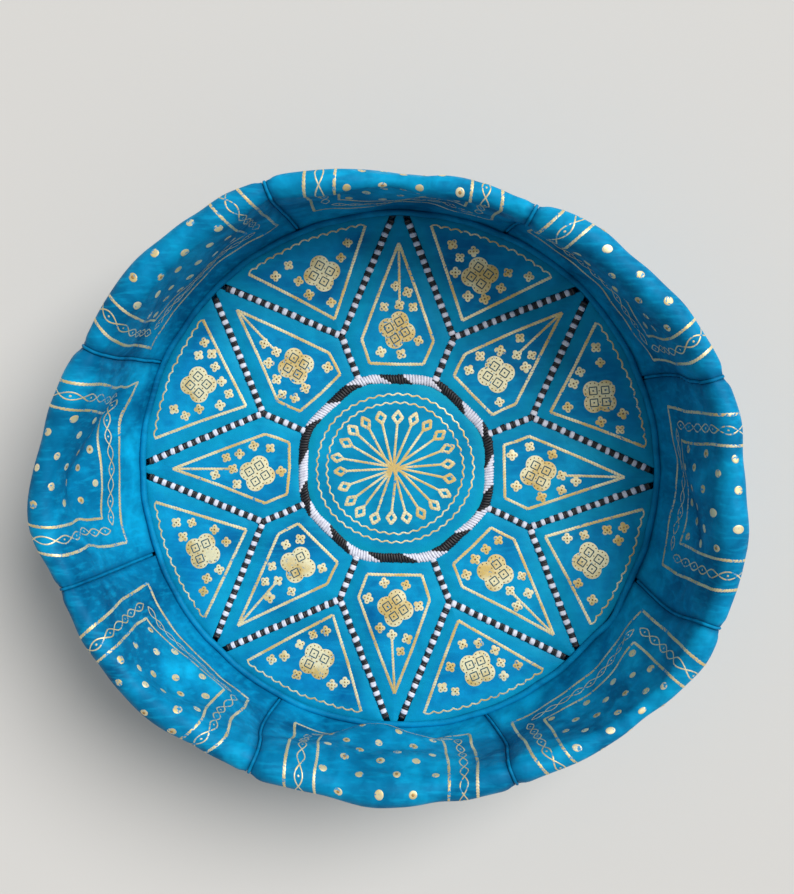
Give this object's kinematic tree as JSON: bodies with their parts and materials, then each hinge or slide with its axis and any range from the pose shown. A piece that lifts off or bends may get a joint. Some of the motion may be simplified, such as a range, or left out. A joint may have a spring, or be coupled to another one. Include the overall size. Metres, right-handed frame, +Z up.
{
  "type": "leather pouf",
  "caption": "Round leather pouf cover, empty and pushed in to a double-walled bowl, with a pieced star top, laced seams, piped edges, panelled sides and a zip in the base.",
  "frame": {"origin": "middle of the base, on the floor", "axes": "+Z up, out of the bowl; +X along the longer way across the rim and along the zip"},
  "size_m": [0.52, 0.4608, 0.1491],
  "materials": {
    "leather_turquoise": "hand-dyed, satin",
    "piping_leather": "hand-dyed, satin",
    "lacing": "black and white, satin",
    "zip_tape": "woven",
    "zip_coil": "satin",
    "zip_metal": "antique"
  },
  "bodies": {
    "cover": {"base_half_back": "leather_turquoise", "base_half_front": "leather_turquoise", "base_piping": "piping_leather", "border_fan_1": "leather_turquoise", "border_fan_2": "leather_turquoise", "border_fan_3": "leather_turquoise", "border_fan_4": "leather_turquoise", "border_fan_5": "leather_turquoise", "border_fan_6": "leather_turquoise", "border_fan_7": "leather_turquoise", "border_fan_8": "leather_turquoise", "medallion": "leather_turquoise", "petal_braid_1_left": "lacing", "petal_braid_1_right": "lacing", "petal_braid_2_left": "lacing", "petal_braid_2_right": "lacing", "petal_braid_3_left": "lacing", "petal_braid_3_right": "lacing", "petal_braid_4_left": "lacing", "petal_braid_4_right": "lacing", "petal_braid_5_left": "lacing", "petal_braid_5_right": "lacing", "petal_braid_6_left": "lacing", "petal_braid_6_right": "lacing", "petal_braid_7_left": "lacing", "petal_braid_7_right": "lacing", "petal_braid_8_left": "lacing", "petal_braid_8_right": "lacing", "ring_braid": "lacing", "side_panel_1": "leather_turquoise", "side_panel_2": "leather_turquoise", "side_panel_3": "leather_turquoise", "side_panel_4": "leather_turquoise", "side_panel_5": "leather_turquoise", "side_panel_6": "leather_turquoise", "side_panel_7": "leather_turquoise", "side_panel_8": "leather_turquoise", "side_welts": "piping_leather", "spoke_braids": "lacing", "star_petal_1": "leather_turquoise", "star_petal_2": "leather_turquoise", "star_petal_3": "leather_turquoise", "star_petal_4": "leather_turquoise", "star_petal_5": "leather_turquoise", "star_petal_6": "leather_turquoise", "star_petal_7": "leather_turquoise", "star_petal_8": "leather_turquoise", "top_piping": "piping_leather", "zip_coil_back": "zip_coil", "zip_coil_front": "zip_coil", "zip_stops": "zip_metal", "zip_tape_back": "zip_tape", "zip_tape_front": "zip_tape"},
    "zip_slider": {"zip_slider": "zip_metal"},
    "zip_pull": {"zip_pull": "zip_metal"}
  },
  "joints": [
    {"name": "zip_slide", "type": "slide", "parent": "cover", "child": "zip_slider", "axis": [-1, 0, 0], "range_m": [0, 0.25]},
    {"name": "pull_hinge", "type": "hinge", "parent": "zip_slider", "child": "zip_pull", "pos_m": [0.128, 0, 0.0036], "axis": [0, -1, 0], "range_deg": [0, 175]}
  ]
}
